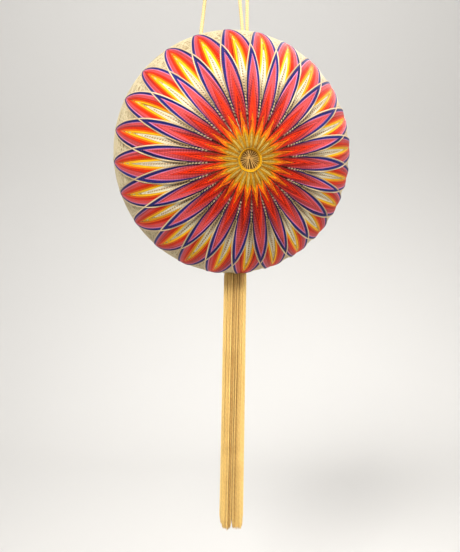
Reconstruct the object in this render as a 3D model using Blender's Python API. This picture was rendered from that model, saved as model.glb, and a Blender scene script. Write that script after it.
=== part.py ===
"""Temari ball: an embroidered thread ball with hanging loops above and a straight cord tassel below.

Metres, +Z up. The front of the ball, with the sunken pole of its chrysanthemum, faces -Y.
The origin is the inside top of the hanging loops, where a hook or a peg carries the part.
"""
import math

import bpy
import bmesh
from mathutils import Matrix, Vector

# Ball: outer size, place below the hook, and the way its embroidered front pole faces
BALL_WIDTH = 0.1000
BALL_HEIGHT = 0.1026
BALL_CENTRE = Vector((0.0014, 0.0, -0.0761))
POLE_TURN_RIGHT = math.radians(8.3)
POLE_DROP = math.radians(10.0)

# Chrysanthemum: 24 lens-shaped inner petals, the first one a little left of the top
PETALS = 24
FIRST_PETAL = math.radians(102.3)

# Relief of the stitched layer by angle from the pole:
# angle (degrees), pile height (metres), height of the inner petals over the lines between (metres)
RELIEF = (
    (0.0, -0.00200, 0.00000),
    (2.4, -0.00170, 0.00000),
    (4.2, 0.00010, 0.00000),
    (6.0, 0.00080, 0.00004),
    (10.0, 0.00105, 0.00008),
    (14.0, 0.00110, -0.00006),
    (20.0, 0.00100, -0.00014),
    (26.0, 0.00085, -0.00004),
    (33.0, 0.00065, 0.00014),
    (46.0, 0.00050, 0.00018),
    (54.0, 0.00040, 0.00006),
    (62.0, 0.00022, -0.00012),
    (78.0, 0.00012, -0.00012),
    (86.0, 0.00003, -0.00003),
    (90.0, 0.00000, 0.00000),
)
SPHERE_COLUMNS = 4 * PETALS
SPHERE_RINGS = 48
# Rings lie closer together near the poles by this share
RING_GATHER = 0.55

# Hanging cords
CORD_DIAMETER = 0.0015
CORD_SIDE = 0.00095
CORD_STEP = 0.0036

# Tassel: a rounded bundle of cords hanging from the underside, leaning slightly to the left
TASSEL_TOP = Vector((0.0033, 0.0, -0.1275))
TASSEL_LENGTH = 0.1094
TASSEL_LEAN = -0.0017
STRAND_SIDE = 0.00108
STRAND_PITCH_TOP = 0.00142
STRAND_PITCH_END = 0.00158
STRAND_LAYER_PITCH = 0.00146
STRANDS_IN_LAYER = (5, 6, 7, 6, 5)
STRAND_POINTS = 9
STRAND_WANDER = 0.00010
HEAD_HALF_WIDTH = 0.0049
HEAD_HALF_DEPTH = 0.0036
HEAD_LENGTH = 0.0045
SEAT_GAP = 0.0005

# The outer cords of the tassel are cut shorter, most on its left side
LEFT_CUT_BACK = 0.0042
RIGHT_CUT_BACK = 0.0018


def clear_scene():
    for item in list(bpy.data.objects):
        bpy.data.objects.remove(item, do_unlink=True)


def collection(name):
    group = bpy.data.collections.new(name)
    bpy.context.scene.collection.children.link(group)
    return group


def material(name, colour, roughness):
    finish = bpy.data.materials.new(name)
    finish.use_nodes = True
    shader = finish.node_tree.nodes["Principled BSDF"]
    shader.inputs["Base Color"].default_value = (*colour, 1.0)
    shader.inputs["Roughness"].default_value = roughness
    shader.inputs["Metallic"].default_value = 0.0
    return finish


def add_object(name, data, group, finish=None):
    item = bpy.data.objects.new(name, data)
    group.objects.link(item)
    if finish is not None:
        data.materials.append(finish)
    return item


def relief(angle):
    """Pile height and petal height at an angle from the nearer pole, read from the RELIEF table."""
    degrees = math.degrees(min(angle, math.pi - angle))
    for inner, outer in zip(RELIEF, RELIEF[1:]):
        if degrees <= outer[0]:
            share = (degrees - inner[0]) / (outer[0] - inner[0])
            share = share * share * (3.0 - 2.0 * share)
            pile = inner[1] + share * (outer[1] - inner[1])
            petal = inner[2] + share * (outer[2] - inner[2])
            return pile, petal
    return RELIEF[-1][1:]


def ball_axes():
    """Front pole direction and the two directions across it, right and up as seen from the front."""
    across = math.cos(POLE_DROP)
    pole = Vector((
        across * math.sin(POLE_TURN_RIGHT),
        -across * math.cos(POLE_TURN_RIGHT),
        -math.sin(POLE_DROP),
    ))
    right = Vector((0.0, 0.0, 1.0)).cross(pole).normalized()
    return pole, right, pole.cross(right)


def make_ball(group, finish):
    """A sphere with its rings gathered to the poles, its points lifted by the stitched relief."""
    mesh = bpy.data.meshes.new("ball")
    shape = bmesh.new()
    bmesh.ops.create_uvsphere(shape, u_segments=SPHERE_COLUMNS, v_segments=SPHERE_RINGS, radius=1.0)
    pole, right, up = ball_axes()
    half_width = BALL_WIDTH / 2.0
    stretch = BALL_HEIGHT / BALL_WIDTH
    for point in shape.verts:
        angle = math.acos(max(-1.0, min(1.0, point.co.z)))
        angle -= RING_GATHER * math.sin(2.0 * angle) / 2.0
        turn = math.atan2(point.co.y, point.co.x)
        pile, petal = relief(angle)
        height = half_width + pile + petal * math.cos(PETALS * turn)
        turn += FIRST_PETAL
        across = math.cos(turn) * right + math.sin(turn) * up
        place = height * (math.cos(angle) * pole + math.sin(angle) * across)
        point.co = (place.x, place.y, place.z * stretch)
    shape.to_mesh(mesh)
    shape.free()
    mesh.shade_smooth()
    ball = add_object("ball", mesh, group, finish)
    ball.location = BALL_CENTRE
    return ball


def curve_points(knots, step):
    """Points about a step apart on a smooth curve through the knots."""
    knots = [Vector(knot) for knot in knots]
    ends = [2.0 * knots[0] - knots[1]] + knots + [2.0 * knots[-1] - knots[-2]]
    points = [knots[0]]
    for before, start, end, after in zip(ends, ends[1:], ends[2:], ends[3:]):
        pieces = max(1, round((end - start).length / step))
        for piece in range(1, pieces + 1):
            share = piece / pieces
            points.append(0.5 * (
                2.0 * start
                + (end - before) * share
                + (2.0 * before - 5.0 * start + 4.0 * end - after) * share ** 2
                + (3.0 * start - before - 3.0 * end + after) * share ** 3
            ))
    return points


def tube(name, points, radius, resolution, group, finish=None):
    """A round or square cord: a poly curve with a bevel and filled caps."""
    curve = bpy.data.curves.new(name, "CURVE")
    curve.dimensions = "3D"
    curve.bevel_depth = radius
    curve.bevel_resolution = resolution
    curve.use_fill_caps = True
    spline = curve.splines.new("POLY")
    spline.points.add(len(points) - 1)
    for target, point in zip(spline.points, points):
        target.co = (*point, 1.0)
    return add_object(name, curve, group, finish)


def loop_route(side, right_leg):
    """Left leg up from the ball, over the hook, and down to the ball along the right leg."""
    left_leg = (
        (-0.01150, -0.02592),
        (-0.01102, -0.02200),
        (-0.01040, -0.01680),
        (-0.00982, -0.01170),
        (-0.00925, -0.00800),
        (-0.00800, -0.00440),
        (-0.00560, -0.00140),
        (-0.00280, 0.00025),
        (0.00000, 0.00075),
    )
    return [(across, side, height) for across, height in left_leg + right_leg]


def make_loops(group, finish):
    """Two cords side by side over the hook. Their left legs hang one behind the other."""
    front_leg = (
        (0.00240, 0.00005),
        (0.00420, -0.00230),
        (0.00490, -0.00600),
        (0.00524, -0.01170),
        (0.00572, -0.01720),
        (0.00613, -0.02200),
        (0.00636, -0.02462),
    )
    rear_leg = (
        (0.00300, 0.00020),
        (0.00590, -0.00160),
        (0.00770, -0.00480),
        (0.00832, -0.00900),
        (0.00834, -0.01400),
        (0.00834, -0.01950),
        (0.00834, -0.02482),
    )
    routes = {
        "loop_front": loop_route(-CORD_SIDE, front_leg),
        "loop_rear": loop_route(CORD_SIDE, rear_leg),
    }
    for name, route in routes.items():
        tube(name, curve_points(route, CORD_STEP), CORD_DIAMETER / 2.0, 2, group, finish)


def strand_end(place):
    """How far short of the full length a strand is cut, by its place across from -1 to 1."""
    cut_back = LEFT_CUT_BACK if place < 0.0 else RIGHT_CUT_BACK
    return cut_back * abs(place) ** 2.0


def strand_points(layer, number, count):
    """Route of one strand of the tassel, from inside the head to its cut end."""
    column = number - (count - 1) / 2.0
    depth = (layer - (len(STRANDS_IN_LAYER) - 1) / 2.0) * STRAND_LAYER_PITCH
    length = TASSEL_LENGTH - strand_end(2.0 * column / max(STRANDS_IN_LAYER))
    phase = 2.4 * number + 1.7 * layer
    points = []
    for step in range(STRAND_POINTS):
        share = step / (STRAND_POINTS - 1)
        fall = 0.5 * HEAD_LENGTH + share * (length - 0.5 * HEAD_LENGTH)
        pitch = STRAND_PITCH_TOP + share * (STRAND_PITCH_END - STRAND_PITCH_TOP)
        wander = STRAND_WANDER * math.sin(phase + 5.0 * share) * min(1.0, 4.0 * share)
        points.append(TASSEL_TOP + Vector((
            column * pitch + TASSEL_LEAN * share + wander,
            depth,
            -fall,
        )))
    return points


def make_strands(cutters):
    """All the strands of the tassel as one object of square cords, ready to be joined to the head."""
    joined = bmesh.new()
    for layer, count in enumerate(STRANDS_IN_LAYER):
        for number in range(count):
            cord = tube(
                "strand", strand_points(layer, number, count), STRAND_SIDE / math.sqrt(2.0), 0, cutters
            )
            for point in cord.data.splines[0].points:
                point.tilt = math.radians(45.0)
            bpy.context.view_layer.update()
            graph = bpy.context.evaluated_depsgraph_get()
            mesh = bpy.data.meshes.new_from_object(cord.evaluated_get(graph))
            joined.from_mesh(mesh)
            bpy.data.objects.remove(cord, do_unlink=True)
            bpy.data.meshes.remove(mesh)
    bmesh.ops.remove_doubles(joined, verts=joined.verts, dist=0.00001)
    bmesh.ops.recalc_face_normals(joined, faces=joined.faces)
    mesh = bpy.data.meshes.new("tassel_strands")
    joined.to_mesh(mesh)
    joined.free()
    return hide_cutter(add_object("tassel_strands", mesh, cutters))


def hide_cutter(item):
    item.hide_render = True
    item.display_type = "WIRE"
    return item


def make_seat(cutters):
    """The ball's underside with its seat gap, which the tassel's head is cut to."""
    mesh = bpy.data.meshes.new("seat")
    shape = bmesh.new()
    bmesh.ops.create_uvsphere(shape, u_segments=96, v_segments=64, radius=1.0)
    half_width = BALL_WIDTH / 2.0 + SEAT_GAP
    half_height = BALL_HEIGHT / 2.0 + SEAT_GAP
    bmesh.ops.transform(
        shape, matrix=Matrix.Diagonal((half_width, half_width, half_height, 1.0)), verts=shape.verts
    )
    shape.to_mesh(mesh)
    shape.free()
    seat = add_object("seat", mesh, cutters)
    seat.location = BALL_CENTRE
    return hide_cutter(seat)


def make_tassel(group, cutters, finish):
    """A short oval head under the ball, cut to the ball's curve, with the strands joined to it."""
    mesh = bpy.data.meshes.new("tassel")
    shape = bmesh.new()
    above = 0.001
    height = HEAD_LENGTH + above
    bmesh.ops.create_cone(
        shape, cap_ends=True, segments=32, radius1=1.0, radius2=1.0, depth=height,
        matrix=Matrix.Translation((0.0, 0.0, above - height / 2.0))
        @ Matrix.Diagonal((HEAD_HALF_WIDTH, HEAD_HALF_DEPTH, 1.0, 1.0)),
    )
    shape.to_mesh(mesh)
    shape.free()
    tassel = add_object("tassel", mesh, group, finish)
    tassel.location = TASSEL_TOP
    strands = make_strands(cutters)
    seat = make_seat(cutters)
    for name, operation, other in (("roots", "UNION", strands), ("seat", "DIFFERENCE", seat)):
        step = tassel.modifiers.new(name, "BOOLEAN")
        step.operation = operation
        step.object = other
        step.solver = "EXACT"
    return tassel


def main():
    clear_scene()
    pieces = collection("temari_ball")
    cutters = collection("cutters")
    wound_thread = material("wound_thread", (0.86, 0.42, 0.22), 0.62)
    tassel_cord = material("tassel_cord", (0.86, 0.64, 0.32), 0.55)
    loop_cord = material("loop_cord", (0.88, 0.74, 0.46), 0.58)
    make_ball(pieces, wound_thread)
    make_tassel(pieces, cutters, tassel_cord)
    make_loops(pieces, loop_cord)


main()
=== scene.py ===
"""Looks of the hanging temari ball: stitched threads, wound ground, sunken pole, tassel and loops.

Metres, +Z up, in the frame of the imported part. The front pole of the ball faces -Y. The ball's
radius and the sizes of its threads are in millimetres, unless a comment says metres. A value with
_DEG in its name is an angle from the nearer pole, or a range of such angles, in degrees. A tone
shifts a thread between its dark and its light shade.
"""
import math
from collections import namedtuple

import bpy
import numpy as np
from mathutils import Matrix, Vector


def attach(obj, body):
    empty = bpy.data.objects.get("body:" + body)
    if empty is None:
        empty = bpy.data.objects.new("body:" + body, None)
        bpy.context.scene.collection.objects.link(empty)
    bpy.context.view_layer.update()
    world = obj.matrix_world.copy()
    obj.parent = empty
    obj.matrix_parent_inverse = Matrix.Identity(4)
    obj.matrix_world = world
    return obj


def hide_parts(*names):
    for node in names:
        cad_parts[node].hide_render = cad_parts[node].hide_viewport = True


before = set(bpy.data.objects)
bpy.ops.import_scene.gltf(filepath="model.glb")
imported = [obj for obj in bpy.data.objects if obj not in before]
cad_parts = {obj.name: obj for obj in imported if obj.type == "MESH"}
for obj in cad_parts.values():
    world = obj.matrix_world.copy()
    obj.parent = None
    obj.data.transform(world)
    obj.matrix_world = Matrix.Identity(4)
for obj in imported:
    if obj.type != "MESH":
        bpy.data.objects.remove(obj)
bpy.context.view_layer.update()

MM = 0.001
FULL_TURN = 2.0 * math.pi
PHASE_RANGE = 6.0

# Ball, as in the part. Its centre is in metres
BALL_CENTRE = np.array((0.0014, 0.0, -0.0761))
BALL_RADIUS = 50.0
BALL_STRETCH = 1.026
POLE_TURN_RIGHT = math.radians(8.3)
POLE_DROP = math.radians(10.0)
PETALS = 24
FIRST_PETAL = math.radians(102.3)
SECTOR = FULL_TURN / PETALS
HALF_SECTOR = SECTOR / 2.0
SEED = 24

# Threads: dark and light shade, linear colour
THREADS = {
    "pale": ((0.30, 0.19, 0.08), (0.86, 0.82, 0.61)),
    "yellow": ((0.34, 0.12, 0.001), (1.0, 0.60, 0.012)),
    "orange": ((0.26, 0.02, 0.0), (0.94, 0.18, 0.001)),
    "red": ((0.12, 0.001, 0.001), (0.82, 0.030, 0.001)),
    "pink": ((0.11, 0.004, 0.008), (0.74, 0.092, 0.094)),
    "coral": ((0.12, 0.003, 0.003), (0.79, 0.046, 0.024)),
    "lavender": ((0.14, 0.02, 0.08), (0.69, 0.23, 0.44)),
    "blue": ((0.002, 0.002, 0.012), (0.022, 0.027, 0.195)),
    "cream": ((0.30, 0.18, 0.08), (0.80, 0.62, 0.38)),
    "gold": ((0.20, 0.07, 0.001), (0.84, 0.42, 0.005)),
    "ground": ((0.34, 0.245, 0.12), (0.67, 0.575, 0.365)),
    "guide": ((0.16, 0.08, 0.02), (0.88, 0.66, 0.38)),
    "line": ((0.030, 0.008, 0.006), (0.94, 0.68, 0.40)),
    "tassel": ((0.34, 0.15, 0.03), (0.95, 0.68, 0.24)),
    "loop": ((0.62, 0.44, 0.17), (0.96, 0.8, 0.42)),
}
# Threads in the sunken middle round either pole get painted shade, darker and golden: what their
# colour is multiplied by there
GOLDEN_SHADE_STARTS_DEG = 11.5
GOLDEN_SHADE_ENDS_DEG = 14.0
GOLDEN_PAINTED_SHADE = {
    "pale": (0.66, 0.50, 0.15),
    "yellow": (0.56, 0.43, 0.30),
    "ground": (0.30, 0.19, 0.07),
    "guide": (0.90, 0.70, 0.34),
}

# Thread materials
SHEEN_ROUGHNESS = 0.35
SPECULAR_LEVEL = 0.12
PLY_SLANT = 4.0
FIBRE_SCALE, FIBRE_DETAIL, FIBRE_SHARE = 2600.0, 3.0, 0.45
PATCH_SCALE, PATCH_DETAIL, PATCH_SHARE = 140.0, 2.0, 0.30
BUMP_STRENGTH = 0.6

# Section of a flattened thread: flat middle and edge by share of the width, tuck of the edges
RIBBON_FLAT = 0.24
RIBBON_EDGE = 0.50
RIBBON_TUCK = -0.045

# Camera: level, 400 mm in front of the hook, at the height of the picture's centre
CAMERA_PLACE = (0.0010, -0.4000, -0.1285)
CAMERA_SENSOR = 36.0
CAMERA_LENS = 73.33
CAMERA_NEAR = 0.01
CAMERA_FAR = 10.0

# Hanging cords, in metres, as in the part. The twist's phase goes by the cord's side, and the
# tone's wave and the cord's way round are in radians. Legs: across, height
CORD_DIAMETER = 0.0015
CORD_SIDE = 0.00095
CORD_STEP = 0.0003
CORD_PITCH = 0.0042
CORD_PHASE = 900.0
CORD_TONE = 0.05
CORD_TONE_ANGLE = 19.0
CORD_ROUND = 4.0
LEFT_LEG = (
    (-0.01150, -0.02592),
    (-0.01102, -0.02200),
    (-0.01040, -0.01680),
    (-0.00982, -0.01170),
    (-0.00925, -0.00800),
    (-0.00800, -0.00440),
    (-0.00560, -0.00140),
    (-0.00280, 0.00025),
    (0.00000, 0.00075),
)
FRONT_LEG = (
    (0.00240, 0.00005),
    (0.00420, -0.00230),
    (0.00490, -0.00600),
    (0.00524, -0.01170),
    (0.00572, -0.01720),
    (0.00613, -0.02200),
    (0.00636, -0.02462),
)
REAR_LEG = (
    (0.00300, 0.00020),
    (0.00590, -0.00160),
    (0.00770, -0.00480),
    (0.00832, -0.00900),
    (0.00834, -0.01400),
    (0.00834, -0.01950),
    (0.00834, -0.02482),
)

# Hand work: how far tips and lines stray (degrees), and the share of it that the outer tips
# take, from an angle in radians on
TIP_STRAY = 1.25
LINE_STRAY = 0.55
OUTER_FROM = 0.75
OUTER_RATE = 3.6
OUTER_SHARE = 0.6

# Wound ground: its surface, the dip at each pole, and its rings of corners (from, to, count)
GROUND_RADIUS = 49.70
DIP_DEG = 4.6
DIP_DEPTH = 1.5
GROUND_RINGS = ((0.02, 6.0, 13), (8.0, 172.0, 83), (174.0, 179.98, 13))
GROUND_COLUMNS = 144
GROUND_ROUND = 40.0
GROUND_TONE = -0.25
# Tone of the ground in the hole at each pole: painted shade
HOLE_PAINTED_SHADE = -1.2
GROUND_POLE_DEG = 85.5

# Winds of the ground, at random round the ball. Sway and miss are shares of the radius
WINDS = 380
WIND_CORNERS = 73
WIND_REFERENCE = (0.3, 0.5, 0.8)
WIND_WIDTH = 0.42
WIND_THICK = 0.10
WIND_SEAT = 0.08
WIND_RISE = 0.10
WIND_RISES = 3.0
WIND_SWAY = 0.06
WIND_SWAYS = 2.0
WIND_MISS = 0.05
WIND_POLE_DEG = 12.0
WIND_POLE_DIP = 1.6
WIND_TONE = 0.40
WIND_TONE_SPREAD = 0.12

# Stitched bands, from the middle outward. Angles in degrees from the pole, for the first and
# the last row of a band: inner stitch, where the thread leaves the line of its inner stitch,
# crossing on the inner petal's centre line, outer tip
BANDS = (
    # colour, rows, inner stitches, leaving the line, crossings, outer tips
    ("pale", 4, (4.3, 4.8), (4.3, 4.8), (5.5, 12.2), (46.0, 57.0)),
    ("yellow", 2, (5.0, 5.6), (8.4, 9.4), (12.4, 13.3), (63.0, 68.0)),
    ("orange", 2, (10.4, 11.2), (10.4, 11.2), (14.8, 17.8), (70.8, 73.4)),
    ("red", 2, (12.2, 13.6), (12.2, 13.6), (23.8, 30.0), (75.2, 77.0)),
    ("coral", 1, (15.4, 15.4), (15.4, 15.4), (34.6, 34.6), (78.5, 78.5)),
    ("pink", 3, (16.6, 19.2), (16.6, 19.2), (39.0, 47.0), (79.8, 81.9)),
    ("lavender", 1, (20.4, 20.4), (20.4, 20.4), (49.6, 49.6), (83.0, 83.0)),
    ("blue", 2, (21.2, 23.2), (21.2, 23.2), (52.2, 55.2), (84.2, 85.5)),
    ("cream", 1, (27.0, 27.0), (27.0, 27.0), (58.4, 58.4), (86.8, 86.8)),
)
Row = namedtuple("Row", "colour inner leaves cross tip")

# Shape of a stitched thread between its line, the crossing and the tip
LINE_GAP = 0.18
LINE_GAP_GROWTH = 0.26
TIP_GAP = 0.04
LEAVE_SLOPE = 0.015
LEAVE_SLOPE_INNER = 0.16
LEAVE_POWER = 1.6
CROSS_SLOPE = 0.105
TIP_SLOPE = 0.04
TIP_SLOPE_GROWTH = 0.26

# Height field of the stitched layer: from, to and step by angle, columns over two sectors
FIELD_FROM_DEG = 3.6
FIELD_TO_DEG = 89.0
FIELD_STEP_DEG = 0.12
FIELD_COLUMNS = 480
STITCH_BASE = 0.10
LAYER = 0.088
CROWN = 0.06
CROWN_POWER = 0.4
UNDER_SHARE = 0.46
# Share by which the stitches lie flatter towards the ball's middle, and where
RIM_SINK = 0.50
RIM_FROM_DEG = 50.0
RIM_RANGE_DEG = 26.0

# Width of a stitched thread by the gap to the row before
GAP_FILL = 1.28
GAP_ALONE = 0.34
GAP_SMOOTHING = 15
NARROWEST = 0.38
WIDEST = 0.60
WIDEST_RED = 0.74
RED_COLOURS = ("red", "coral")

# Corners and ends of a stitched thread
STITCH_STEP = 1.25
STITCH_CORNERS = 8
END_TRIM = 0.4
END_REACH = 0.55
END_NARROWING = 0.7
INNER_END_DIP = 0.9
OUTER_END_LIFT = -0.25

# Tone of the stitches, darker near the pole and where they lie packed along a line
STITCH_TONE = 0.33
STITCH_TONE_SPREAD = 0.20
POLE_SHADE = 0.10
POLE_SHADE_TO_DEG = 13.5
POLE_SHADE_RANGE_DEG = 2.5
PACKED_SHADE = 0.82
PACKED_POWER = 0.8
PACKED_TO_DEG = 40.0
PACKED_TO_RANGE_DEG = 12.0
PACKED_FROM_DEG = 11.0
PACKED_FROM_RANGE_DEG = 4.0

# Two-coloured threads along each petal line. Tones: degrees from the pole, tone; the low tones
# towards the pole are painted shade where the threads lie deep between the petals
LINE_FROM_DEG = 17.6
LINE_TO_DEG = 53.0
LINE_WIDTH = 0.27
LINE_THICK = 0.17
LINE_TWIST = 1.30
LINE_CORNERS = 64
LINE_START = 0.2
LINE_END = 0.3
LINE_SUNK = -0.2
LINE_PAINTED_SHADE = ((18.0, -1.5), (21.0, -1.38), (24.0, -1.12), (28.0, -0.91), (36.0, -0.60))
LINE_TONE_SPREAD = 0.08

# Division threads. The gap that they leave in the middle of a pole, its spread and its reach are
# in radians
POLE_GAP = -0.009
POLE_GAP_SPREAD = 0.0015
POLE_GAP_REACH = 0.12
GUIDE_CORNERS = 241
GUIDE_WIDTH = 0.28
GUIDE_THICK = 0.13
GUIDE_SEAT = 0.10
GUIDE_DIP_DEG = 4.8
GUIDE_DIP = 0.65
GUIDE_LIFT = 0.14
GUIDE_STACK = 0.25
GUIDE_HEIGHTS = 3
GUIDE_TONE = 0.25
GUIDE_TONE_SPREAD = 0.15

# Rings round each sunken pole, laid in chords
RINGS = 12
RING_CHORDS = 7
RING_CORNERS = 109
RING_DEG = 3.8
RING_GROWTH_DEG = 1.25
RING_SWAY = 0.03
RING_BOTTOM = -1.05
RING_RISE = 1.75
RING_POWER = 0.7
RING_WAVE = 0.08
RING_WAVES = 3.0
RING_WIDTH = 0.42
RING_THICK = 0.16
RING_RADIUS = 4.5
RING_TONE = 0.12
# Painted shade on the top of each ring, painted light on its bottom
RING_TOP_PAINTED_SHADE = 0.30
RING_TONE_SPREAD = 0.12

# Tassel, in metres
TASSEL_TOP = np.array((0.0033, 0.0, -0.1275))
TASSEL_LENGTH = 0.1094
TASSEL_LEAN = -0.0017
BUNDLE_HALF_WIDTH = 0.00475
BUNDLE_HALF_DEPTH = 0.00340
BUNDLE_POWER = 2.6
BUNDLE_SPREAD = 0.06
BUNDLE_DRIFT = -0.0009
STRAND_PITCH = 0.00050
STRAND_LAYERS = 8
STRAND_COLUMNS = 11
LAYER_PITCH = 0.87
STRAND_RADIUS = 0.00027
STRAND_TWIST = 0.006
STRAND_CORNERS = 46
STRAND_ROOT = -0.012
STRAND_STRAY = 0.00004
STRAND_UNEVEN = 0.0007
STRAND_WANDER = 0.00007
WANDER_ANGLE = 5.0
WANDER_GROWTH = 4.0
STRAND_FRAY = 0.00016
FRAY_GROWTH = 8.0
STRAND_SHIFT = 7.0
# Tone across the bundle: painted shade down the middle and painted highlight on the rims
TASSEL_TONE = 0.20
TASSEL_TONE_SPREAD = 0.10
MIDDLE_SHADE = 0.30
MIDDLE_PLACE = 0.0003
MIDDLE_REACH = 0.0016
RIM_FROM = 0.75
RIM_LIGHT = 1.6
# Waves of tone: share, radians by metre, phase
GROUP_WAVES = ((0.14, 5200.0, 1.3), (0.10, 9100.0, 0.0))
# Grooves between the groups of strands: place across the top of the bundle, half width, depth
GROOVES = (
    (-0.00210, 0.00012, 0.00035),
    (-0.00070, 0.00016, 0.00100),
    (0.00060, 0.00017, 0.00120),
    (0.00180, 0.00016, 0.00090),
)
# Cut ends: place across the end of the bundle, how far short of the full length
CUT_ENDS = (
    (-0.0053, 0.0052),
    (-0.0034, 0.0012),
    (-0.0008, 0.0000),
    (0.0003, 0.0008),
    (0.0006, 0.0046),
    (0.0009, 0.0046),
    (0.0012, 0.0008),
    (0.0045, 0.0004),
    (0.0048, 0.0052),
    (0.0054, 0.0058),
)

# Floor that sweeps up into a wall, in metres, and the pale ground past its edges
PALE = (0.72, 0.71, 0.69)
FLOOR_ROUGHNESS = 0.9
FLOOR_HEIGHT = -0.300
FLOOR_FRONT = -1.6
FLOOR_SIDE = 2.2
SWEEP_FROM = 0.45
SWEEP_RADIUS = 0.35
SWEEP_STEPS = 12
WALL_TOP = 1.6

# Area lights: name, place, aim, side (metres), power (watts), colour, spread (degrees)
WHITE = (1.0, 1.0, 1.0)
SOFT_WHITE = (1.0, 0.985, 0.96)
BALL_AIM = (0.0, 0.0, -0.10)
LIGHTS = (
    ("key", (-0.18, -0.69, 0.31), BALL_AIM, 0.24, 0.45, SOFT_WHITE, 38.0),
    ("fill", (0.74, -0.52, 0.22), BALL_AIM, 0.60, 0.70, WHITE, 70.0),
    ("bounce", (0.0, -0.26, -0.285), (0.0, 0.0, -0.12), 0.24, 0.02, (1.0, 0.74, 0.46), 100.0),
    ("back", (0.25, 0.50, 0.30), BALL_AIM, 0.30, 0.24, SOFT_WHITE, 40.0),
    ("left", (-0.90, 0.20, 0.20), BALL_AIM, 0.60, 0.22, WHITE, 50.0),
    ("right", (0.90, 0.05, 0.20), BALL_AIM, 0.60, 0.40, WHITE, 50.0),
    ("above", (0.0, -0.90, 1.20), (0.0, -0.9001, -0.30), 1.20, 6.6, WHITE, 120.0),
    ("backdrop", (0.0, 0.10, 0.88), (0.0, 0.74, 0.12), 0.90, 4.0, WHITE, 90.0),
)
WORLD_COLOUR = (1.0, 0.88, 0.72)
WORLD_STRENGTH = 0.12


def ball_axes():
    """Front pole direction and the two directions across it, right and up seen from the front."""
    across = math.cos(POLE_DROP)
    pole = np.array((
        across * math.sin(POLE_TURN_RIGHT),
        -across * math.cos(POLE_TURN_RIGHT),
        -math.sin(POLE_DROP),
    ))
    right = np.cross((0.0, 0.0, 1.0), pole)
    right /= np.linalg.norm(right)
    return pole, right, np.cross(pole, right)


POLE, RIGHT, UP = ball_axes()


# Meshes and pieces

def make_object(name, corners, faces, tones, uvs, material):
    """One mesh of quads from arrays of corners and faces, with a tone and a UV at each corner."""
    mesh = bpy.data.meshes.new(name)
    corners = np.asarray(corners, dtype=np.float32)
    faces = np.asarray(faces, dtype=np.int32)
    mesh.vertices.add(len(corners))
    mesh.vertices.foreach_set("co", corners.ravel())
    mesh.loops.add(faces.size)
    mesh.loops.foreach_set("vertex_index", faces.ravel())
    mesh.polygons.add(len(faces))
    mesh.polygons.foreach_set("loop_start", np.arange(0, faces.size, 4, dtype=np.int32))
    mesh.update(calc_edges=True)
    mesh.shade_smooth()
    tone = mesh.attributes.new("tone", "FLOAT", "POINT")
    tone.data.foreach_set("value", np.asarray(tones, dtype=np.float32))
    layer = mesh.uv_layers.new(name="along")
    layer.data.foreach_set("uv", np.asarray(uvs, dtype=np.float32)[faces.ravel()].ravel())
    mesh.validate()
    item = bpy.data.objects.new(name, mesh)
    bpy.context.scene.collection.objects.link(item)
    mesh.materials.append(material)
    return item


def join_grids(grids):
    """Joins grids (corners, tone, UVs, whether closed across) into flat arrays."""
    corners, faces, tones, uvs = [], [], [], []
    start = 0
    for points, tone, uv, closed in grids:
        rows, columns = points.shape[:2]
        corners.append(points.reshape(-1, 3))
        tones.append(np.broadcast_to(tone, (rows, columns)).reshape(-1))
        uvs.append(uv.reshape(-1, 2))
        number = start + np.arange(rows * columns).reshape(rows, columns)
        if closed:
            number = np.concatenate([number, number[:, :1]], axis=1)
        quads = np.stack([number[:-1, :-1], number[:-1, 1:], number[1:, 1:], number[1:, :-1]], -1)
        faces.append(quads.reshape(-1, 4))
        start += rows * columns
    return np.concatenate(corners), np.concatenate(faces), np.concatenate(tones), np.concatenate(uvs)


def add_piece(name, grids, finish, replaced=None):
    """A visible piece of joined grids. It rides on the part's only body."""
    piece = make_object(name, *join_grids(grids), finish)
    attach(piece, "root")
    if replaced is not None:
        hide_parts(replaced)
    return piece


# Thread materials

def add_math(nodes, links, operation, *terms, clamp=False):
    """Result of a Math node, with sockets and plain numbers as its terms."""
    node = nodes.new("ShaderNodeMath")
    node.operation = operation
    node.use_clamp = clamp
    for socket, term in zip(node.inputs, terms):
        if isinstance(term, float):
            socket.default_value = term
        else:
            links.new(term, socket)
    return node.outputs[0]


def add_range(nodes, links, value, low, high, top=1.0):
    """A value between low and high as a share from 0 to top."""
    node = nodes.new("ShaderNodeMapRange")
    node.inputs["From Min"].default_value = low
    node.inputs["From Max"].default_value = high
    node.inputs["To Max"].default_value = top
    links.new(value, node.inputs["Value"])
    return node.outputs["Result"]


def add_noise(nodes, links, place, scale, detail):
    """Noise by the place on the object."""
    node = nodes.new("ShaderNodeTexNoise")
    node.inputs["Scale"].default_value = scale
    node.inputs["Detail"].default_value = detail
    links.new(place, node.inputs["Vector"])
    return node.outputs["Fac"]


def golden_shade_share(nodes, links, place):
    """Share of painted golden shade in the sunken middle round either pole, from the place on the
    ball.
    """
    centre = nodes.new("ShaderNodeVectorMath")
    centre.operation = "SUBTRACT"
    centre.inputs[1].default_value = tuple(BALL_CENTRE)
    links.new(place, centre.inputs[0])
    unit = nodes.new("ShaderNodeVectorMath")
    unit.operation = "NORMALIZE"
    links.new(centre.outputs["Vector"], unit.inputs[0])
    lean = nodes.new("ShaderNodeVectorMath")
    lean.operation = "DOT_PRODUCT"
    lean.inputs[1].default_value = tuple(POLE)
    links.new(unit.outputs["Vector"], lean.inputs[0])
    either = add_math(nodes, links, "ABSOLUTE", lean.outputs["Value"])
    outside = math.cos(math.radians(GOLDEN_SHADE_ENDS_DEG))
    inside = math.cos(math.radians(GOLDEN_SHADE_STARTS_DEG))
    return add_range(nodes, links, either, outside, inside)


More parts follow.
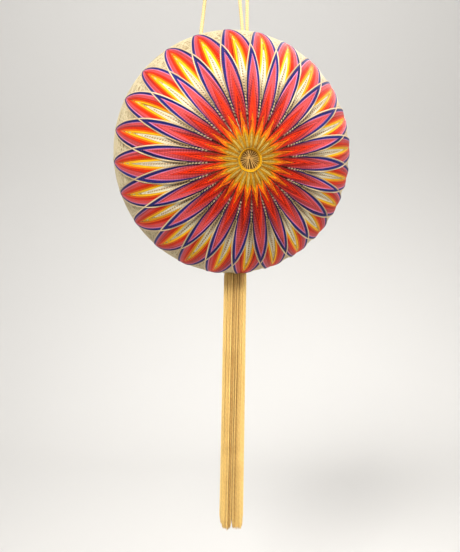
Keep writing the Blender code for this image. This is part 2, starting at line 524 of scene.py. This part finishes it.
def thread_material(name, twist=1.15, depth=0.05, sheen=0.08, roughness=0.6, fuzz=0.5,
                    edge_shade=0.95, ply_share=0.30):
    """Twisted thread: grooves between its plies in bump and painted shade, shade by strand, fine
    fibre noise and sheen.
    """
    dark, light = THREADS[name]
    finish = bpy.data.materials.new("thread_" + name)
    finish.use_nodes = True
    nodes, links = finish.node_tree.nodes, finish.node_tree.links
    shader = nodes["Principled BSDF"]
    shader.inputs["Sheen Weight"].default_value = sheen
    shader.inputs["Sheen Roughness"].default_value = SHEEN_ROUGHNESS
    shader.inputs["Roughness"].default_value = roughness
    shader.inputs["Specular IOR Level"].default_value = SPECULAR_LEVEL

    # plies run slantwise: their phase grows along the thread and across it
    uv = nodes.new("ShaderNodeUVMap")
    uv.uv_map = "along"
    split = nodes.new("ShaderNodeSeparateXYZ")
    links.new(uv.outputs["UV"], split.inputs["Vector"])
    along, across = split.outputs["X"], split.outputs["Y"]
    lean = add_math(nodes, links, "MULTIPLY", across, PLY_SLANT)
    phase = add_math(nodes, links, "MULTIPLY_ADD", along, FULL_TURN / twist, lean)
    wave = add_math(nodes, links, "SINE", phase)
    ply = add_range(nodes, links, wave, -1.0, 1.0)

    # the shade adds up plies, fibres, patches and the strand's own tone. The plies give painted shade
    # in the grooves between them, and on the line threads their two colours
    place = nodes.new("ShaderNodeTexCoord").outputs["Object"]
    fibre = add_noise(nodes, links, place, FIBRE_SCALE, FIBRE_DETAIL)
    patch = add_noise(nodes, links, place, PATCH_SCALE, PATCH_DETAIL)
    tone = nodes.new("ShaderNodeAttribute")
    tone.attribute_name = "tone"
    shade = add_math(nodes, links, "MULTIPLY_ADD", ply, ply_share, tone.outputs["Fac"])
    shade = add_math(nodes, links, "MULTIPLY_ADD", fibre, FIBRE_SHARE, shade)
    shade = add_math(nodes, links, "MULTIPLY_ADD", patch, PATCH_SHARE, shade, clamp=True)
    # the edges of a thread lie in shade against its neighbours
    from_middle = add_math(nodes, links, "ABSOLUTE", across)
    rim = add_range(nodes, links, from_middle, RIBBON_FLAT, RIBBON_EDGE, edge_shade)
    shade = add_math(nodes, links, "SUBTRACT", shade, rim, clamp=True)
    mix = nodes.new("ShaderNodeMix")
    mix.data_type = "RGBA"
    mix.inputs["A"].default_value = (*dark, 1.0)
    mix.inputs["B"].default_value = (*light, 1.0)
    links.new(shade, mix.inputs["Factor"])
    colour = mix.outputs["Result"]
    # painted shade: threads in the sunken middle round either pole are darkened and made golden
    if name in GOLDEN_PAINTED_SHADE:
        golden_shade_mix = nodes.new("ShaderNodeMix")
        golden_shade_mix.data_type = "RGBA"
        golden_shade_mix.blend_type = "MULTIPLY"
        golden_shade_mix.inputs["B"].default_value = (*GOLDEN_PAINTED_SHADE[name], 1.0)
        links.new(golden_shade_share(nodes, links, place), golden_shade_mix.inputs["Factor"])
        links.new(colour, golden_shade_mix.inputs["A"])
        colour = golden_shade_mix.outputs["Result"]
    links.new(colour, shader.inputs["Base Color"])

    bump = nodes.new("ShaderNodeBump")
    bump.inputs["Strength"].default_value = BUMP_STRENGTH
    bump.inputs["Distance"].default_value = depth * MM
    relief = add_math(nodes, links, "MULTIPLY_ADD", fibre, fuzz, ply)
    links.new(relief, bump.inputs["Height"])
    links.new(bump.outputs["Normal"], shader.inputs["Normal"])
    return finish


# Camera

def make_camera():
    """The photograph's view."""
    data = bpy.data.cameras.new("camera")
    data.sensor_fit = "HORIZONTAL"
    data.sensor_width = CAMERA_SENSOR
    data.lens = CAMERA_LENS
    data.clip_start = CAMERA_NEAR
    data.clip_end = CAMERA_FAR
    camera = bpy.data.objects.new("camera", data)
    camera.location = CAMERA_PLACE
    camera.rotation_euler = (math.radians(90.0), 0.0, 0.0)
    bpy.context.scene.collection.objects.link(camera)
    bpy.context.scene.camera = camera
    bpy.context.view_layer.update()


# Cords

def smooth_route(knots, step):
    """Points about a step apart on a smooth curve through the knots."""
    knots = [Vector(knot) for knot in knots]
    ends = [2.0 * knots[0] - knots[1]] + knots + [2.0 * knots[-1] - knots[-2]]
    points = [knots[0]]
    for before, start, end, after in zip(ends, ends[1:], ends[2:], ends[3:]):
        pieces = max(1, round((end - start).length / step))
        for piece in range(1, pieces + 1):
            share = piece / pieces
            points.append(0.5 * (
                2.0 * start
                + (end - before) * share
                + (2.0 * before - 5.0 * start + 4.0 * end - after) * share ** 2
                + (3.0 * start - before - 3.0 * end + after) * share ** 3
            ))
    return np.array([tuple(point) for point in points])


def twisted_cord(route, radius, pitch, plies=3, sides=15, groove=0.16, phase=0.0):
    """Grid, UVs and length of a cord of twisted plies along a route, with its ends drawn in."""
    steps = np.diff(route, axis=0)
    length = np.concatenate([[0.0], np.cumsum(np.linalg.norm(steps, axis=1))])
    tangent = np.gradient(route, length, axis=0)
    tangent /= np.linalg.norm(tangent, axis=1)[:, None]
    side = np.cross(tangent, (0.0, 1.0, 0.0))
    side /= np.linalg.norm(side, axis=1)[:, None]
    other = np.cross(tangent, side)
    turn = np.linspace(0.0, FULL_TURN, sides, endpoint=False)
    screw = FULL_TURN * length / pitch + phase
    lobe = 1.0 - groove * (1.0 - np.abs(np.cos(plies * (turn[None, :] - screw[:, None]) / 2.0)))
    reach = radius * lobe
    ends = np.minimum(length, length[-1] - length) / radius
    rounded = np.clip(ends * (2.0 - ends), 0.0, 1.0) * (ends < 1.0) + (ends >= 1.0)
    reach = reach * np.sqrt(rounded)[:, None]
    points = (
        route[:, None, :]
        + reach[..., None] * np.cos(turn)[None, :, None] * side[:, None, :]
        + reach[..., None] * np.sin(turn)[None, :, None] * other[:, None, :]
    )
    uv = np.stack(np.broadcast_arrays(length[:, None] / MM, turn[None, :] / CORD_ROUND), axis=-1)
    return points, uv, length[-1]


def make_loops():
    """Two cords side by side over the hook, which isn't shown."""
    finish = thread_material("loop", twist=1.0, depth=0.08, edge_shade=0.0)
    for name, side, leg in (("front", -CORD_SIDE, FRONT_LEG), ("rear", CORD_SIDE, REAR_LEG)):
        route = smooth_route([(across, side, height) for across, height in LEFT_LEG + leg], CORD_STEP)
        points, uv, length = twisted_cord(
            route, CORD_DIAMETER / 2.0, CORD_PITCH, phase=side * CORD_PHASE)
        tone = CORD_TONE * np.sin(np.linspace(0.0, CORD_TONE_ANGLE, len(route)))[:, None]
        loop = add_piece("loop_cord_" + name, [(points, tone, uv, True)], finish,
                         "loop_" + name)


# Ball surface

def smooth_step(share):
    """Share that starts and ends softly."""
    return share * share * (3.0 - 2.0 * share)


class Hand:
    """Small unevenness of hand stitching: tips sit a little short or long, lines a little off."""

    def __init__(self, front):
        chance = np.random.default_rng(SEED if front else SEED + 1)
        self.reach = chance.normal(0.0, TIP_STRAY, PETALS)
        self.turn = chance.normal(0.0, LINE_STRAY, PETALS)

    def lines(self, values, turn):
        """Values of the petal lines, blended between one line and the next."""
        place = (turn - HALF_SECTOR) / SECTOR
        low = np.floor(place).astype(int)
        share = smooth_step(place - low)
        return (1.0 - share) * values[low % PETALS] + share * values[(low + 1) % PETALS]

    def __call__(self, angle, turn):
        weight = np.sin(np.clip(angle * 2.0, 0.0, math.pi)) ** 2
        outer = np.sin(np.clip((angle - OUTER_FROM) * OUTER_RATE, 0.0, math.pi)) ** 2
        longer = (self.lines(self.reach, turn) * weight
                  + OUTER_SHARE * self.lines(-self.reach, turn) * outer)
        aside = self.lines(self.turn, turn) * weight
        return angle + np.radians(longer), turn + np.radians(aside)


def direction(angle, turn, front=True):
    """Unit direction at an angle from the front or back pole and a turn about it."""
    turn = FIRST_PETAL + np.asarray(turn) * (1.0 if front else -1.0)
    across = np.cos(turn)[..., None] * RIGHT + np.sin(turn)[..., None] * UP
    pole = POLE if front else -POLE
    return np.cos(angle)[..., None] * pole + np.sin(angle)[..., None] * across


def place_on_ball(unit, radius):
    """Points in the row frame from unit directions and radii in millimetres."""
    points = unit * np.asarray(radius)[..., None]
    points = points * (1.0, 1.0, BALL_STRETCH)
    return BALL_CENTRE + points * MM


def ground_radius(angle):
    """Radius of the wound ground: it dips at both poles."""
    angle = np.minimum(angle, math.pi - angle)
    dip = np.clip(1.0 - np.degrees(angle) / DIP_DEG, 0.0, 1.0)
    return GROUND_RADIUS - DIP_DEPTH * dip * dip * (3.0 - 2.0 * dip)


def ramp(degrees, start, width):
    """Share from 0 to 1 over a width in degrees, from a start. A negative width falls before it."""
    return np.clip((degrees - start) / width, 0.0, 1.0)


# Stitched threads

def hermite(x, start, end, first, last, slope_first, slope_last):
    """Cubic between two values with given slopes."""
    width = end - start
    t = (x - start) / width
    return (
        (2.0 * t ** 3 - 3.0 * t ** 2 + 1.0) * first
        + (t ** 3 - 2.0 * t ** 2 + t) * width * slope_first
        + (3.0 * t ** 2 - 2.0 * t ** 3) * last
        + (t ** 3 - t ** 2) * width * slope_last
    )


def stitched_rows():
    """Every row of the bands, its angles in radians."""
    rows = []
    for colour, count, *ranges in BANDS:
        for number in range(count):
            share = number / max(1, count - 1)
            rows.append(Row(colour, *[math.radians(a + share * (b - a)) for a, b in ranges]))
    return rows


ROWS = stitched_rows()


def first_slope(share):
    """How fast a thread leaves its line: inner rows run straight, outer rows hug the line."""
    return LEAVE_SLOPE + LEAVE_SLOPE_INNER * (1.0 - share ** LEAVE_POWER)


def sideways(angle, number):
    """Distance of a thread from the line of its inner stitch, as an arc on the unit sphere.

    It is a small gap at the inner stitch and reaches the next line at the outer tip.
    """
    row = ROWS[number]
    share = number / (len(ROWS) - 1)
    line_gap = (LINE_GAP + LINE_GAP_GROWTH * share ** 2) / BALL_RADIUS
    tip_gap = TIP_GAP / BALL_RADIUS
    slope = CROSS_SLOPE / math.cos(row.cross)
    half = HALF_SECTOR * math.sin(row.cross)
    # inner part: from its own line; outer part: from the next line, where the tip is
    freed = np.maximum(angle, row.leaves)
    inside = hermite(
        freed, row.leaves, row.cross, line_gap, half,
        0.0 if row.leaves > row.inner else first_slope(share),
        HALF_SECTOR * math.cos(row.cross) + slope)
    outside = hermite(
        angle, row.cross, row.tip, half, tip_gap,
        HALF_SECTOR * math.cos(row.cross) - slope,
        -(TIP_SLOPE + TIP_SLOPE_GROWTH * share))
    return np.where(angle < row.cross, inside, SECTOR * np.sin(angle) - outside)


class Field:
    """Height of the stitched layer over two sectors, which repeat round the pole."""

    def __init__(self):
        self.angle = np.radians(np.arange(FIELD_FROM_DEG, FIELD_TO_DEG, FIELD_STEP_DEG))
        self.span = 2.0 * SECTOR
        self.turn = (np.arange(FIELD_COLUMNS) + 0.5) * self.span / FIELD_COLUMNS
        self.height = np.zeros((len(self.angle), FIELD_COLUMNS))

    def across(self, rows, turn, lean):
        """Distance of every cell from a thread, square to it, in millimetres."""
        gap = self.turn[None, :] - turn[:, None]
        gap = (gap + self.span / 2.0) % self.span - self.span / 2.0
        return gap * np.sin(self.angle[rows])[:, None] * lean[:, None] * BALL_RADIUS


def taut(along, support):
    """Height of a taut thread over its support on a round ball: an upper hull along the thread."""
    drop = along * along / (2.0 * BALL_RADIUS)
    level = support - drop
    kept = []
    for i in range(len(along)):
        while len(kept) >= 2:
            a, b = kept[-2], kept[-1]
            rise, run = level[b] - level[a], along[b] - along[a]
            if rise * (along[i] - along[a]) <= (level[i] - level[a]) * run:
                kept.pop()
            else:
                break
        kept.append(i)
    return np.interp(along, along[kept], level[kept]) + drop


def deposit(height, rows, gap, lift, width, mask):
    """Adds one thread to the height of the layer where it lies highest."""
    inside = (np.abs(gap) < width[:, None] / 2.0) & mask[:, None]
    bulge = np.clip(1.0 - (2.0 * gap / width[:, None]) ** 2, 0.0, 1.0) ** CROWN_POWER
    crown = lift[:, None] + LAYER * bulge
    block = height[rows]
    higher = inside & (crown > block)
    block[higher] = crown[higher]
    height[rows] = block


def under(base, rows, gap, width):
    """Highest point of what lies under the middle of a thread."""
    near = np.abs(gap) < UNDER_SHARE * width[:, None]
    return np.where(near, base[rows], 0.0).max(axis=1)


def thread_lean(angle, offset):
    """How much narrower a slanting thread is than its cut along the parallel."""
    return 1.0 / np.sqrt(1.0 + np.gradient(offset, angle) ** 2)


def thread_width(number, angle, offset):
    """Threads flatten where they have room: their width follows the gap to the row before."""
    other = number - 1 if number else 1
    gap = np.abs(offset - sideways(angle, other)) * thread_lean(angle, offset) * BALL_RADIUS
    gap = np.where((angle > ROWS[other].inner) & (angle < ROWS[other].tip), gap, GAP_ALONE)
    kernel = np.ones(GAP_SMOOTHING) / GAP_SMOOTHING
    gap = np.convolve(np.pad(gap, GAP_SMOOTHING // 2, mode="edge"), kernel, mode="valid")
    widest = WIDEST_RED if ROWS[number].colour in RED_COLOURS else WIDEST
    return np.clip(GAP_FILL * gap, NARROWEST, widest)


Thread = namedtuple("Thread", "colour line angle turn lift width along")


def lay_threads():
    """Works the rows in turn, each over the ones before. Returns the threads and their field."""
    field = Field()
    threads = []
    for number, row in enumerate(ROWS):
        rows = np.nonzero((field.angle >= row.inner) & (field.angle <= row.tip))[0]
        angle = field.angle[rows]
        offset = sideways(angle, number)
        lean = thread_lean(angle, offset)
        steps = np.hypot(np.diff(angle), np.diff(offset))
        along = np.concatenate([[0.0], np.cumsum(steps)]) * BALL_RADIUS
        width = thread_width(number, angle, offset)
        turn = offset / np.sin(angle)
        inner_half = angle < row.cross
        every = np.ones_like(inner_half)
        for line in (0, 1):
            down = line * SECTOR + turn
            up = line * SECTOR - turn
            gap_down = field.across(rows, down, lean)
            gap_up = field.across(rows, up, lean)
            # of the two threads of a stitch, one lies on top at the inner stitch, one at the tip
            base_down = under(field.height, rows, gap_down, width)
            base_up = under(field.height, rows, gap_up, width)
            first = field.height.copy()
            deposit(first, rows, gap_up, taut(along, base_up), width, inner_half)
            deposit(first, rows, gap_down, taut(along, base_down), width, ~inner_half)
            over_down = under(first, rows, gap_down, width)
            over_up = under(first, rows, gap_up, width)
            lift_down = taut(along, np.where(inner_half, over_down, base_down))
            lift_up = taut(along, np.where(inner_half, base_up, over_up))
            deposit(field.height, rows, gap_down, lift_down, width, every)
            deposit(field.height, rows, gap_up, lift_up, width, every)
            threads.append(Thread(row.colour, line, angle, down, lift_down, width, along))
            threads.append(Thread(row.colour, line, angle, up, lift_up, width, along))
    return threads, field


def lay_lines(field):
    """A pair of fine threads on every petal line, over the inner stitches."""
    start, end = math.radians(LINE_FROM_DEG), math.radians(LINE_TO_DEG)
    rows = np.nonzero((field.angle >= start) & (field.angle <= end))[0]
    angle = field.angle[rows]
    along = (angle - angle[0]) * BALL_RADIUS
    width = np.full(len(rows), LINE_WIDTH)
    lines = []
    for side in (-0.5, 0.5):
        turn = side * LINE_WIDTH / BALL_RADIUS / np.sin(angle)
        gap = field.across(rows, turn, np.ones(len(rows)))
        lift = taut(along, under(field.height, rows, gap, width))
        lines.append(Thread("line", 0, angle, turn, lift, width, along))
    return lines


def ribbon(unit, radius, width, thick, length, tone):
    """Grid of a flattened thread: four corners across, its edges tucked down."""
    centre = place_on_ball(unit, radius)
    tangent = np.gradient(centre, axis=0)
    side = np.cross(tangent, unit)
    side /= np.linalg.norm(side, axis=1)[:, None]
    across = np.array((-RIBBON_EDGE, -RIBBON_FLAT, RIBBON_FLAT, RIBBON_EDGE))
    rise = np.array((RIBBON_TUCK, 1.0, 1.0, RIBBON_TUCK))
    width = np.broadcast_to(width, (len(unit),))
    thick = np.broadcast_to(thick, (len(unit),))
    points = (
        centre[:, None, :]
        + side[:, None, :] * (across[None, :, None] * width[:, None, None] * MM)
        + unit[:, None, :] * (rise[None, :, None] * thick[:, None, None] * MM)
    )
    uv = np.stack(np.broadcast_arrays(length[:, None], across[None, :]), axis=-1)
    return points, np.broadcast_to(tone, points.shape[:2]), uv, False


def line_grids(lines, front, chance):
    """Ribbons of the threads along the petal lines round one pole."""
    hand = Hand(front)
    phases = chance.uniform(0.0, LINE_TWIST, PETALS)
    grids = []
    for thread in lines:
        wanted = np.linspace(LINE_START, thread.along[-1] - LINE_END, LINE_CORNERS)
        angles = np.interp(wanted, thread.along, thread.angle)
        turns = np.interp(wanted, thread.along, thread.turn)
        lifts = np.interp(wanted, thread.along, thread.lift)
        lifts[0] = LINE_SUNK
        lifts[-1] = LINE_SUNK
        # painted shade: the line threads are darker towards the pole
        tone = np.interp(np.degrees(angles), *zip(*LINE_PAINTED_SHADE))
        for number in range(PETALS):
            place, swung = hand(angles, turns + (number - 0.5) * SECTOR)
            grids.append(ribbon(
                direction(place, swung, front), GROUND_RADIUS + STITCH_BASE + lifts,
                LINE_WIDTH, LINE_THICK, wanted + phases[number],
                (tone + chance.normal(0.0, LINE_TONE_SPREAD))[:, None]))
    return grids


def with_ends(first, values, last):
    return np.concatenate([[first], values, [last]])


def past_end(angles, turns, end, before):
    """Step past one end of a thread, by angle and by turn."""
    step = np.array((angles[end] - angles[before], turns[end] - turns[before]))
    reach = END_REACH / (BALL_RADIUS * math.hypot(step[0], step[1] * math.sin(angles[end])))
    return reach * step


def stitched_grids(threads, front, chance):
    """Ribbons of every thread round one pole, in groups by colour."""
    groups = {colour: [] for colour, *_ in BANDS}
    hand = Hand(front)
    for thread in threads:
        along = thread.along
        wanted = np.linspace(0.0, along[-1], max(STITCH_CORNERS, int(along[-1] / STITCH_STEP)))
        wanted = with_ends(wanted[0] + END_TRIM, wanted[1:-1], wanted[-1] - END_TRIM)
        angles = np.interp(wanted, along, thread.angle)
        turns = np.interp(wanted, along, thread.turn)
        lifts = np.interp(wanted, along, thread.lift)
        widths = np.interp(wanted, along, thread.width)
        # both ends dip into the ball
        first, last = past_end(angles, turns, 0, 1), past_end(angles, turns, -1, -2)
        angles = with_ends(angles[0] + first[0], angles, angles[-1] + last[0])
        turns = with_ends(turns[0] + first[1], turns, turns[-1] + last[1])
        lifts = with_ends(min(0.0, lifts[0] - INNER_END_DIP), lifts, OUTER_END_LIFT)
        widths = with_ends(END_NARROWING * widths[0], widths, END_NARROWING * widths[-1])
        wanted = with_ends(wanted[0] - END_REACH, wanted, wanted[-1] + END_REACH)
        degrees = np.degrees(angles)
        flat = 1.0 - RIM_SINK * ramp(degrees, RIM_FROM_DEG, RIM_RANGE_DEG)
        radius = GROUND_RADIUS + STITCH_BASE + lifts * flat
        # threads lie packed and shaded where they are close to a line
        apart = np.abs(turns - thread.line * SECTOR) / HALF_SECTOR
        packed = 1.0 - np.clip(np.minimum(apart, 2.0 - apart), 0.0, 1.0)
        deep = (ramp(degrees, PACKED_TO_DEG, -PACKED_TO_RANGE_DEG) * packed ** PACKED_POWER
                * ramp(degrees, PACKED_FROM_DEG, PACKED_FROM_RANGE_DEG))
        near = ramp(degrees, POLE_SHADE_TO_DEG, -POLE_SHADE_RANGE_DEG)
        for repeat in range(PETALS // 2):
            tone = STITCH_TONE + chance.normal(0.0, STITCH_TONE_SPREAD)
            place, swung = hand(angles, turns + repeat * 2.0 * SECTOR - HALF_SECTOR)
            unit = direction(place, swung, front)
            tones = (tone - POLE_SHADE * near - PACKED_SHADE * deep)[:, None]
            groups[thread.colour].append(ribbon(unit, radius, widths, LAYER + CROWN, wanted, tones))
    return groups


def make_stitches():
    """The embroidery of both poles, a piece for each colour and pole, and the line threads."""
    chance = np.random.default_rng(SEED)
    threads, field = lay_threads()
    front = stitched_grids(threads, True, chance)
    back = stitched_grids(threads, False, chance)
    lines = lay_lines(field)
    finish = thread_material("line", twist=LINE_TWIST, depth=0.08, edge_shade=0.3, ply_share=1.9)
    grids = line_grids(lines, True, chance) + line_grids(lines, False, chance)
    add_piece("line_threads", grids, finish)
    for colour in front:
        finish = thread_material(colour)
        for side, groups in (("front", front), ("back", back)):
            add_piece("stitches_" + colour + "_" + side, groups[colour], finish)


# Ground, division threads and rings

def make_ground():
    """The wound ball itself, its surface dipped at the poles, and its winds."""
    finish = thread_material(
        "ground", twist=0.5, depth=0.05, roughness=0.65, fuzz=1.4, edge_shade=0.3)
    angles = np.radians(np.concatenate([np.linspace(*ring) for ring in GROUND_RINGS]))
    turns = np.linspace(0.0, FULL_TURN, GROUND_COLUMNS, endpoint=False)
    grid_angle, grid_turn = np.meshgrid(angles, turns, indexing="ij")
    points = place_on_ball(direction(grid_angle, grid_turn), ground_radius(grid_angle))
    uv = np.stack([grid_turn * GROUND_ROUND, grid_angle], axis=-1)
    # painted shade: the ground is dark in the hole at each pole
    near = np.abs(grid_angle - math.pi / 2.0) > math.radians(GROUND_POLE_DEG)
    tone = np.where(near, HOLE_PAINTED_SHADE, GROUND_TONE)
    add_piece("wound_ground", [(points, tone, uv, True)], finish, "ball")

    chance = np.random.default_rng(SEED + 7)
    grids = []
    for number in range(WINDS):
        axis = chance.normal(size=3)
        axis /= np.linalg.norm(axis)
        first = np.cross(axis, WIND_REFERENCE)
        first /= np.linalg.norm(first)
        second = np.cross(axis, first)
        start = chance.uniform(0.0, FULL_TURN)
        turn = np.linspace(start, start + FULL_TURN, WIND_CORNERS)
        off = (WIND_SWAY * np.sin(WIND_SWAYS * turn + chance.uniform(0.0, PHASE_RANGE))
               + chance.normal(0.0, WIND_MISS))
        unit = np.cos(turn)[:, None] * first + np.sin(turn)[:, None] * second + off[:, None] * axis
        unit /= np.linalg.norm(unit, axis=1)[:, None]
        rise = WIND_RISE * np.sin(turn * WIND_RISES + chance.uniform(0.0, PHASE_RANGE)) ** 2
        away = np.degrees(np.arccos(np.clip(np.abs(unit @ POLE), 0.0, 1.0)))
        sink = WIND_POLE_DIP * np.clip(1.0 - away / WIND_POLE_DEG, 0.0, 1.0)
        grids.append(ribbon(
            unit, GROUND_RADIUS - WIND_SEAT + rise - sink, WIND_WIDTH, WIND_THICK,
            turn * BALL_RADIUS, WIND_TONE + chance.normal(0.0, WIND_TONE_SPREAD)))
    add_piece("wound_threads", grids, finish)


def make_guides():
    """Division threads: one along every line, from pole to pole, crossing untidily in both poles."""
    chance = np.random.default_rng(SEED + 3)
    finish = thread_material("guide", twist=0.8)
    grids = []
    for number in range(PETALS // 2):
        turn = HALF_SECTOR + number * SECTOR
        line = direction(np.array([math.pi / 2.0]), np.array([turn]))[0]
        swing = np.linspace(0.0, FULL_TURN, GUIDE_CORNERS)
        side = np.cross(POLE, line)
        miss = POLE_GAP + chance.normal(0.0, POLE_GAP_SPREAD, 2)
        from_front = np.minimum(swing, FULL_TURN - swing)
        bend = miss[0] * np.exp(-(from_front / POLE_GAP_REACH) ** 2)
        bend += miss[1] * np.exp(-((swing - math.pi) / POLE_GAP_REACH) ** 2)
        unit = np.cos(swing)[:, None] * POLE + np.sin(swing)[:, None] * line + bend[:, None] * side
        unit /= np.linalg.norm(unit, axis=1)[:, None]
        angle = np.arccos(np.clip(np.abs(unit @ POLE), 0.0, 1.0))
        dip = np.clip(1.0 - np.degrees(angle) / GUIDE_DIP_DEG, 0.0, 1.0)
        # in the dip, the threads lie at three heights in turn
        stack = (GUIDE_LIFT + GUIDE_STACK * (number % GUIDE_HEIGHTS) / GUIDE_HEIGHTS) * (dip > 0)
        grids.append(ribbon(
            unit, GROUND_RADIUS - GUIDE_SEAT + stack - GUIDE_DIP * dip, GUIDE_WIDTH, GUIDE_THICK,
            swing * BALL_RADIUS, GUIDE_TONE + chance.normal(0.0, GUIDE_TONE_SPREAD)))
    add_piece("guide_threads", grids, finish)


def make_rings():
    """Golden threads laid round each sunken pole in short chords."""
    finish = thread_material("gold", twist=0.9)
    chance = np.random.default_rng(SEED + 5)
    grids = []
    for front in (True, False):
        for number in range(RINGS):
            share = number / (RINGS - 1)
            size = math.radians(RING_DEG + RING_GROWTH_DEG * share)
            turn = np.linspace(0.0, FULL_TURN, RING_CORNERS)
            swing = chance.uniform(0.0, FULL_TURN)
            part = (turn + swing) * RING_CHORDS / FULL_TURN % 1.0
            chord = math.cos(math.pi / RING_CHORDS) / np.cos((part - 0.5) * FULL_TURN / RING_CHORDS)
            angle = size * (0.5 + 0.5 * chord) * (1.0 + RING_SWAY * np.sin(turn + swing))
            lift = (RING_BOTTOM + RING_RISE * share ** RING_POWER
                    + RING_WAVE * np.sin(RING_WAVES * turn + swing))
            # painted shade: each ring is darker towards the top and lighter towards the bottom
            tone = RING_TONE - RING_TOP_PAINTED_SHADE * np.sin(FIRST_PETAL + turn)[:, None]
            grids.append(ribbon(
                direction(angle, turn, front), GROUND_RADIUS + lift, RING_WIDTH, RING_THICK,
                turn * RING_RADIUS, tone + chance.normal(0.0, RING_TONE_SPREAD)))
    add_piece("pole_rings", grids, finish)


# Tassel

def tassel_strand(across, depth, share, chance):
    """Grid of one fine strand from its place in the top of the bundle."""
    cut_places, cut_lengths = zip(*CUT_ENDS)
    front = abs(depth) / BUNDLE_HALF_DEPTH
    sink = max([deep * max(0.0, 1.0 - (abs(across - place) / (2.0 * half)) ** 2)
                for place, half, deep in GROOVES])
    depth -= math.copysign(sink * front, depth)
    across += chance.normal(0.0, STRAND_STRAY)
    end = across * (1.0 + BUNDLE_SPREAD)
    length = (TASSEL_LENGTH - np.interp(end, cut_places, cut_lengths)
              - chance.uniform(0.0, STRAND_UNEVEN))
    phase = chance.uniform(0.0, PHASE_RANGE)
    wander = (STRAND_WANDER * np.sin(phase + WANDER_ANGLE * share)
              * np.clip(WANDER_GROWTH * share, 0.0, 1.0))
    drift = BUNDLE_DRIFT * (1.0 - (across / BUNDLE_HALF_WIDTH) ** 2)
    # only the last part of a strand frays
    frayed = np.clip(FRAY_GROWTH * share - (FRAY_GROWTH - 1.0), 0.0, 1.0) ** 2
    fray = chance.normal(0.0, STRAND_FRAY) * frayed
    route = TASSEL_TOP + np.stack([
        across * (1.0 + BUNDLE_SPREAD * share) + (TASSEL_LEAN + drift) * share + wander + fray,
        depth + 0.5 * wander,
        -share * length,
    ], axis=-1)
    points, uv, _ = twisted_cord(
        route, STRAND_RADIUS, STRAND_TWIST, plies=2, sides=6, groove=0.06, phase=phase)
    uv[..., 0] += STRAND_SHIFT * phase
    # painted shade down the middle of the bundle, painted highlight on its rims
    middle = math.exp(-((across - MIDDLE_PLACE) / MIDDLE_REACH) ** 2)
    rim = max(0.0, abs(across) / BUNDLE_HALF_WIDTH - RIM_FROM) * RIM_LIGHT
    group = sum(size * math.sin(across * waves + start) for size, waves, start in GROUP_WAVES)
    tone = (TASSEL_TONE - MIDDLE_SHADE * middle + rim + group
            + chance.normal(0.0, TASSEL_TONE_SPREAD))
    return points, tone, uv, True


def make_tassel():
    """A bundle of fine silky strands, grooved down its middle and cut off a little unevenly."""
    finish = thread_material("tassel", twist=2.4, depth=0.02, sheen=0.10, roughness=0.45,
                             edge_shade=0.0, ply_share=0.10)
    chance = np.random.default_rng(SEED + 11)
    share = np.linspace(STRAND_ROOT, 1.0, STRAND_CORNERS)
    grids = []
    for layer in range(-STRAND_LAYERS, STRAND_LAYERS + 1):
        for number in range(-STRAND_COLUMNS, STRAND_COLUMNS + 1):
            across = (number + 0.5 * (layer % 2)) * STRAND_PITCH
            depth = layer * STRAND_PITCH * LAYER_PITCH
            away = (abs(across) / BUNDLE_HALF_WIDTH) ** BUNDLE_POWER
            away += (abs(depth) / BUNDLE_HALF_DEPTH) ** BUNDLE_POWER
            if away <= 1.0:
                grids.append(tassel_strand(across, depth, share, chance))
    add_piece("tassel_strands", grids, finish, "tassel")


# Floor and light

def make_stage():
    """Pale floor below the tassel that sweeps up into a pale wall behind."""
    finish = bpy.data.materials.new("floor")
    finish.use_nodes = True
    shader = finish.node_tree.nodes["Principled BSDF"]
    shader.inputs["Base Color"].default_value = (*PALE, 1.0)
    shader.inputs["Roughness"].default_value = FLOOR_ROUGHNESS
    profile = [(FLOOR_FRONT, FLOOR_HEIGHT), (SWEEP_FROM, FLOOR_HEIGHT)]
    for step in range(1, SWEEP_STEPS + 1):
        swing = math.radians(90.0 * step / SWEEP_STEPS)
        profile.append((SWEEP_FROM + SWEEP_RADIUS * math.sin(swing),
                        FLOOR_HEIGHT + SWEEP_RADIUS * (1.0 - math.cos(swing))))
    profile.append((SWEEP_FROM + SWEEP_RADIUS, WALL_TOP))
    rows = np.array([[(across, y, z) for y, z in profile] for across in (-FLOOR_SIDE, FLOOR_SIDE)])
    uv = np.zeros(rows.shape[:2] + (2,))
    floor = make_object("floor", *join_grids([(rows, 0.0, uv, False)]), finish)


def make_lights():
    """Soft studio lights on all sides, none of them seen by the camera."""
    for name, place, aim, side, power, colour, spread in LIGHTS:
        data = bpy.data.lights.new(name, "AREA")
        data.size = side
        data.energy = power
        data.color = colour
        data.spread = math.radians(spread)
        light = bpy.data.objects.new(name, data)
        light.visible_camera = False
        light.location = place
        light.rotation_euler = (Vector(aim) - Vector(place)).to_track_quat("-Z", "Y").to_euler()
        bpy.context.scene.collection.objects.link(light)


def make_world():
    """Dim warm light from all round, and pale ground in the picture where the floor ends."""
    bpy.context.scene.view_settings.view_transform = "Standard"
    world = bpy.data.worlds.new("soft")
    world.use_nodes = True
    nodes, links = world.node_tree.nodes, world.node_tree.links
    soft = nodes["Background"]
    soft.inputs["Color"].default_value = (*WORLD_COLOUR, 1.0)
    soft.inputs["Strength"].default_value = WORLD_STRENGTH
    pale = nodes.new("ShaderNodeBackground")
    pale.inputs["Color"].default_value = (*PALE, 1.0)
    rays = nodes.new("ShaderNodeLightPath")
    either = nodes.new("ShaderNodeMixShader")
    links.new(rays.outputs["Is Camera Ray"], either.inputs["Fac"])
    links.new(soft.outputs["Background"], either.inputs[1])
    links.new(pale.outputs["Background"], either.inputs[2])
    links.new(either.outputs["Shader"], nodes["World Output"].inputs["Surface"])
    bpy.context.scene.world = world


make_camera()
make_loops()
make_ground()
make_guides()
make_stitches()
make_rings()
make_tassel()
make_stage()
make_lights()
make_world()

bpy.context.view_layer.update()
